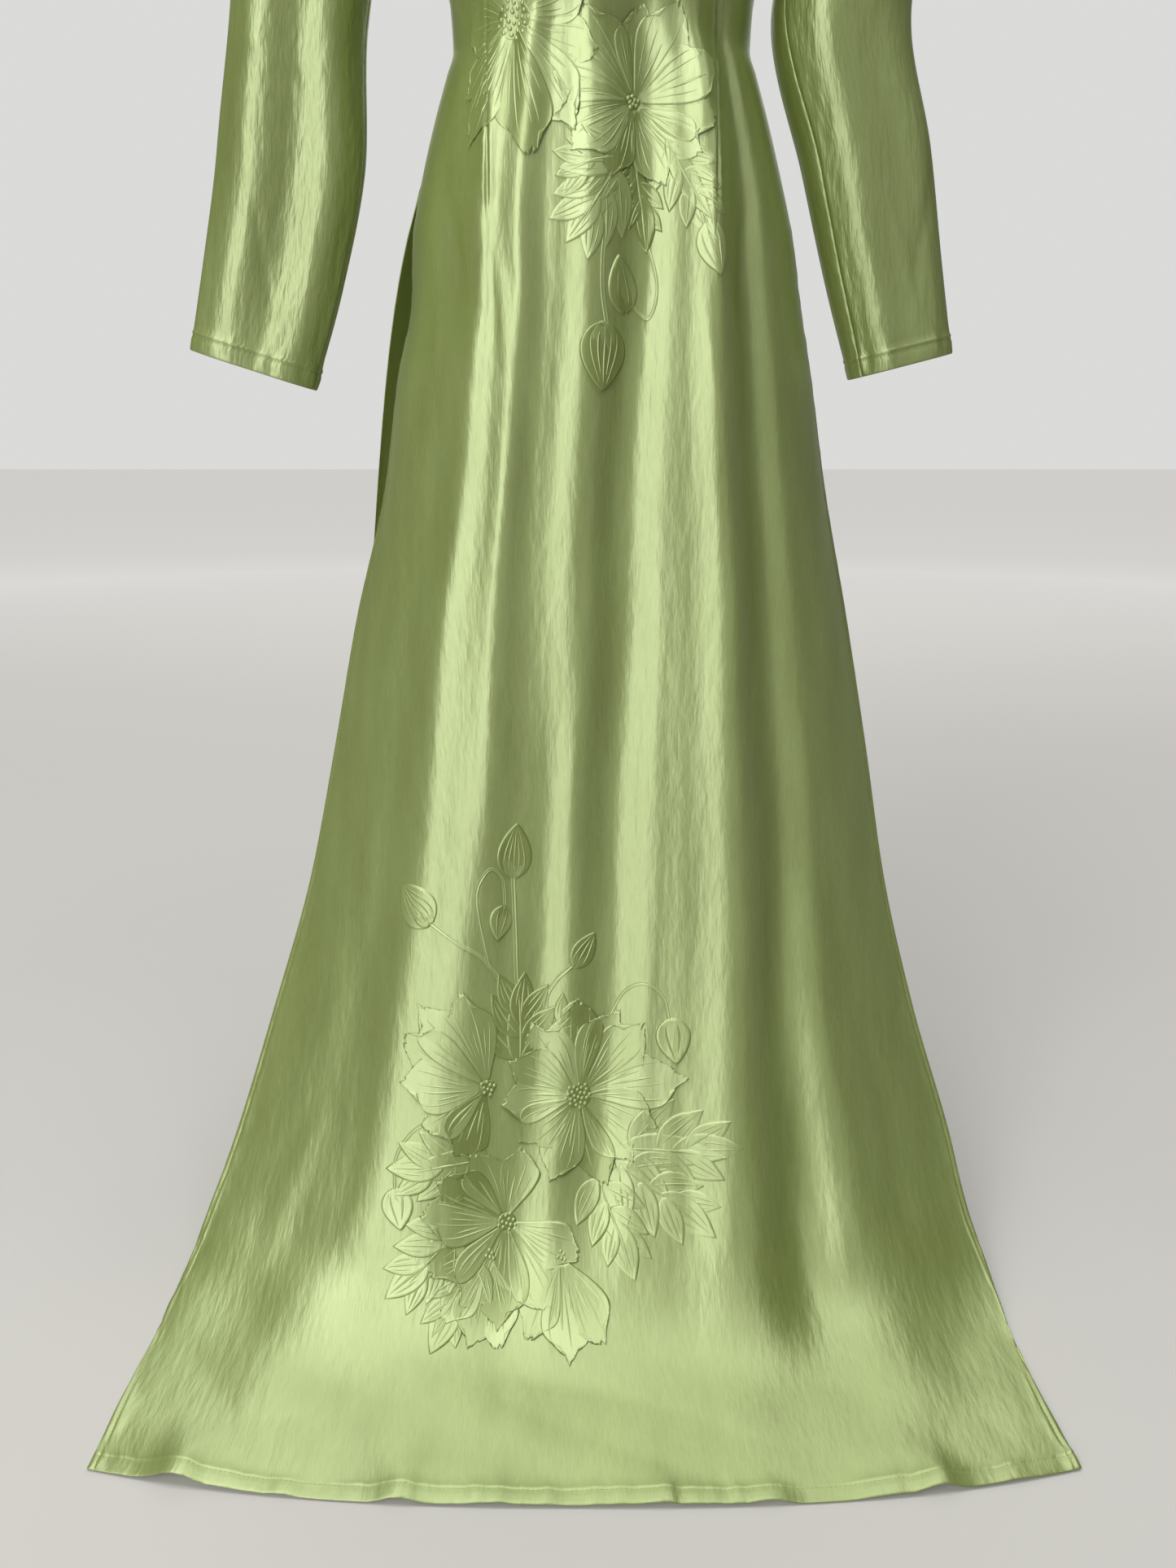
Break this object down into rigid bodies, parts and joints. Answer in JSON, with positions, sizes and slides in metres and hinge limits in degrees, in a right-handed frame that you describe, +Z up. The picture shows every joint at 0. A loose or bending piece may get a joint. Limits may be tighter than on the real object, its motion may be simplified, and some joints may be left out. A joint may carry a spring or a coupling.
{
  "type": "ao dai tunic",
  "caption": "Long-sleeved satin tunic with a stand collar, raglan sleeves and two floor-length panels, split at the sides from the hips, hollow and filled out as worn.",
  "frame": {"origin": "middle of the neck's base, where the wearer's shoulders and neck hold the tunic", "axes": "+Z up, -Y the tunic's front, +X to the right of someone who faces it (the wearer's left)"},
  "size_m": [0.637, 0.86, 1.3317],
  "materials": {
    "satin": "glossy satin, tone on tone embossed"
  },
  "bodies": {
    "root": {"front": "satin", "back": "satin", "sleeve_left": "satin", "sleeve_right": "satin", "collar": "satin"}
  },
  "joints": []
}
